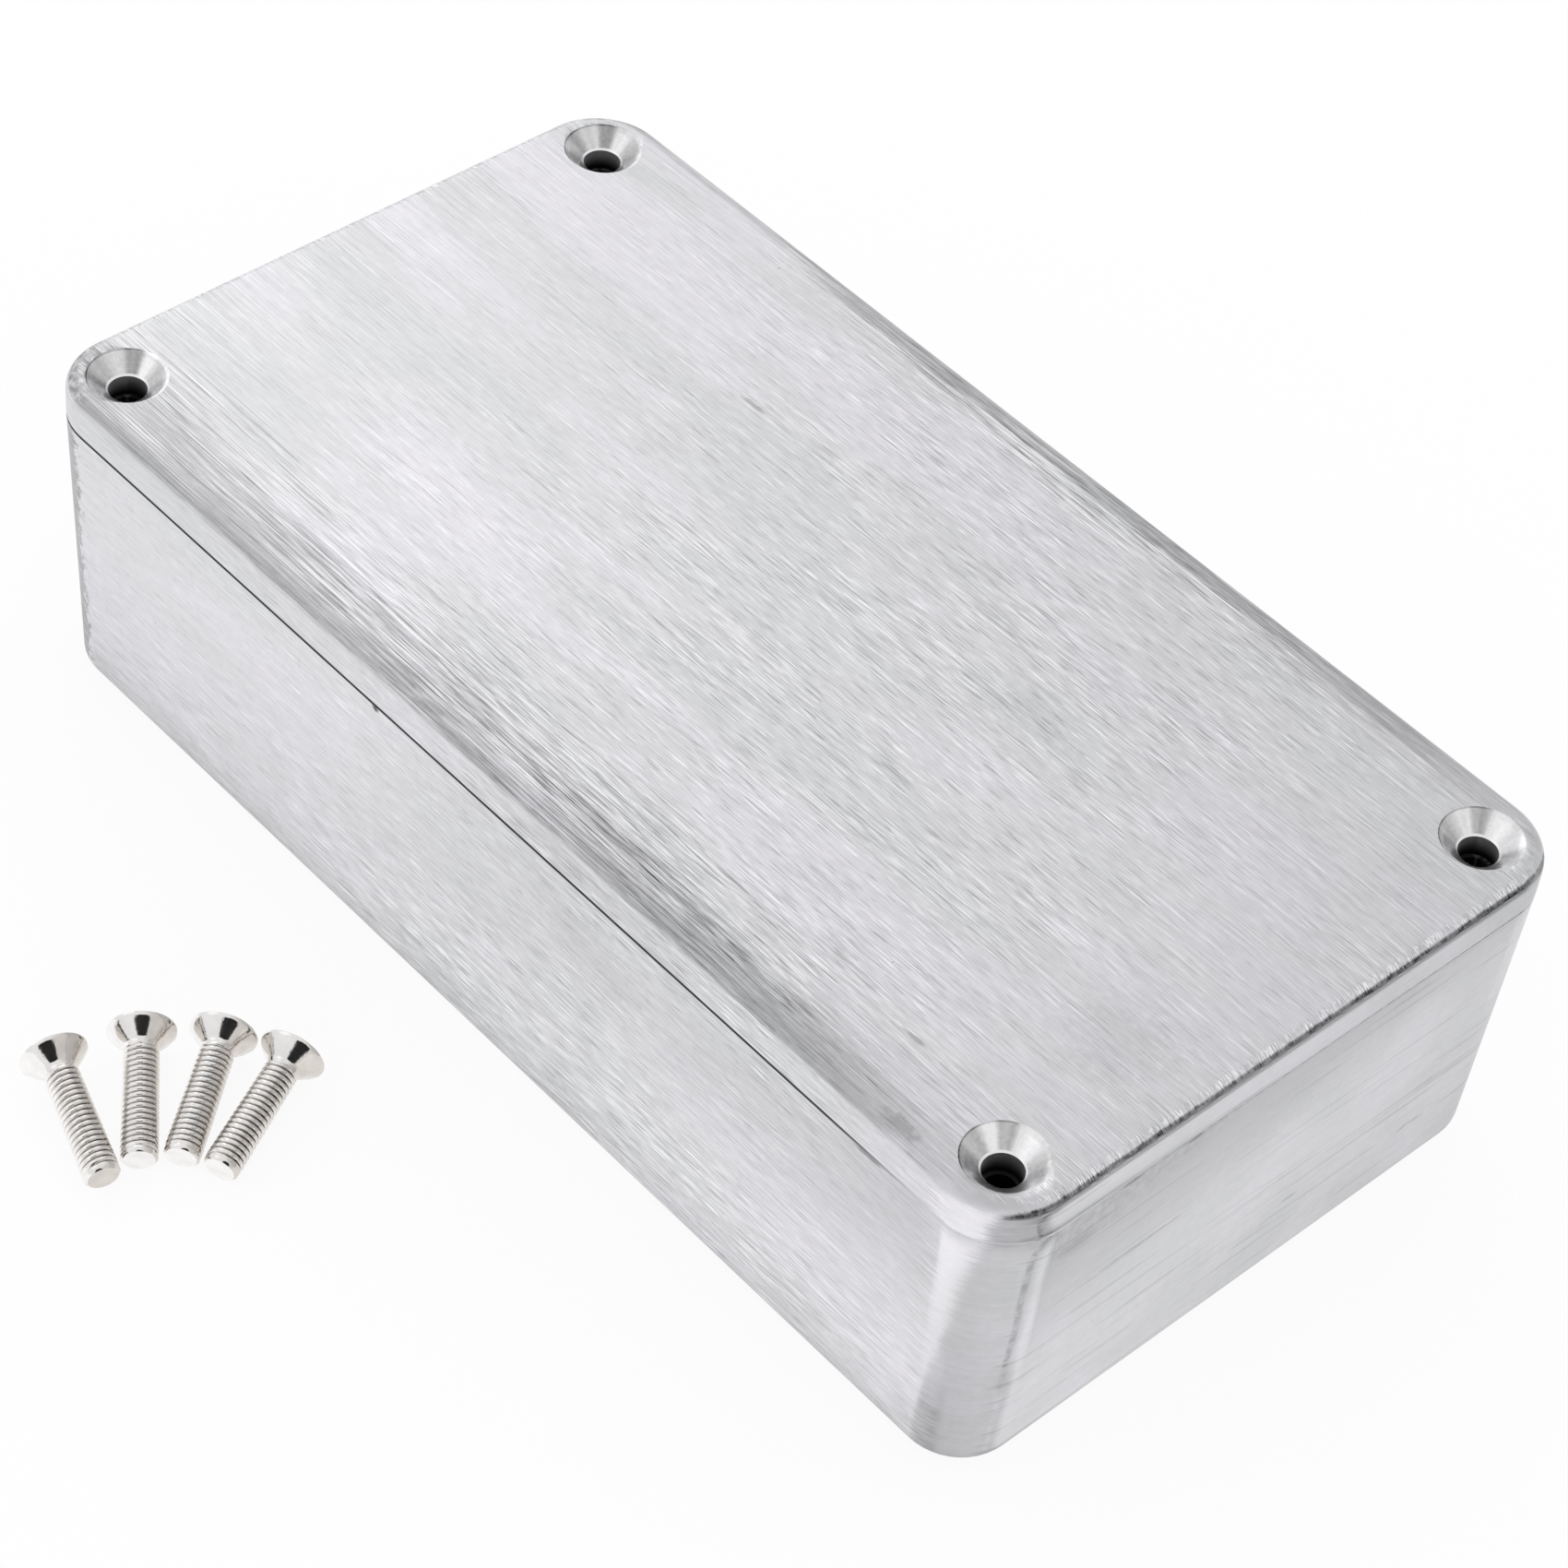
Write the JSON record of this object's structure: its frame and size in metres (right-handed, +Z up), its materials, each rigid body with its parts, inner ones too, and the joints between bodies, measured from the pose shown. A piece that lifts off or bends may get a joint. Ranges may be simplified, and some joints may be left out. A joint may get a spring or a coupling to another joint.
{
  "type": "die cast aluminium box",
  "caption": "Rectangular die cast aluminium enclosure with a screw-down lid, drafted walls and rounded edges, lid screws loose in front.",
  "frame": {"origin": "middle of the box's flat underside, on the ground", "axes": "+X along the box's long side, +Y along its short side away from the loose screws, +Z up through the lid"},
  "size_m": [0.1124, 0.0929, 0.031],
  "materials": {
    "cast_aluminium": "brushed",
    "nickel_plate": "polished"
  },
  "bodies": {
    "root": {"box_body": "cast_aluminium", "lid": "cast_aluminium", "lid_screw_1": "nickel_plate", "lid_screw_2": "nickel_plate", "lid_screw_3": "nickel_plate", "lid_screw_4": "nickel_plate"}
  },
  "joints": []
}
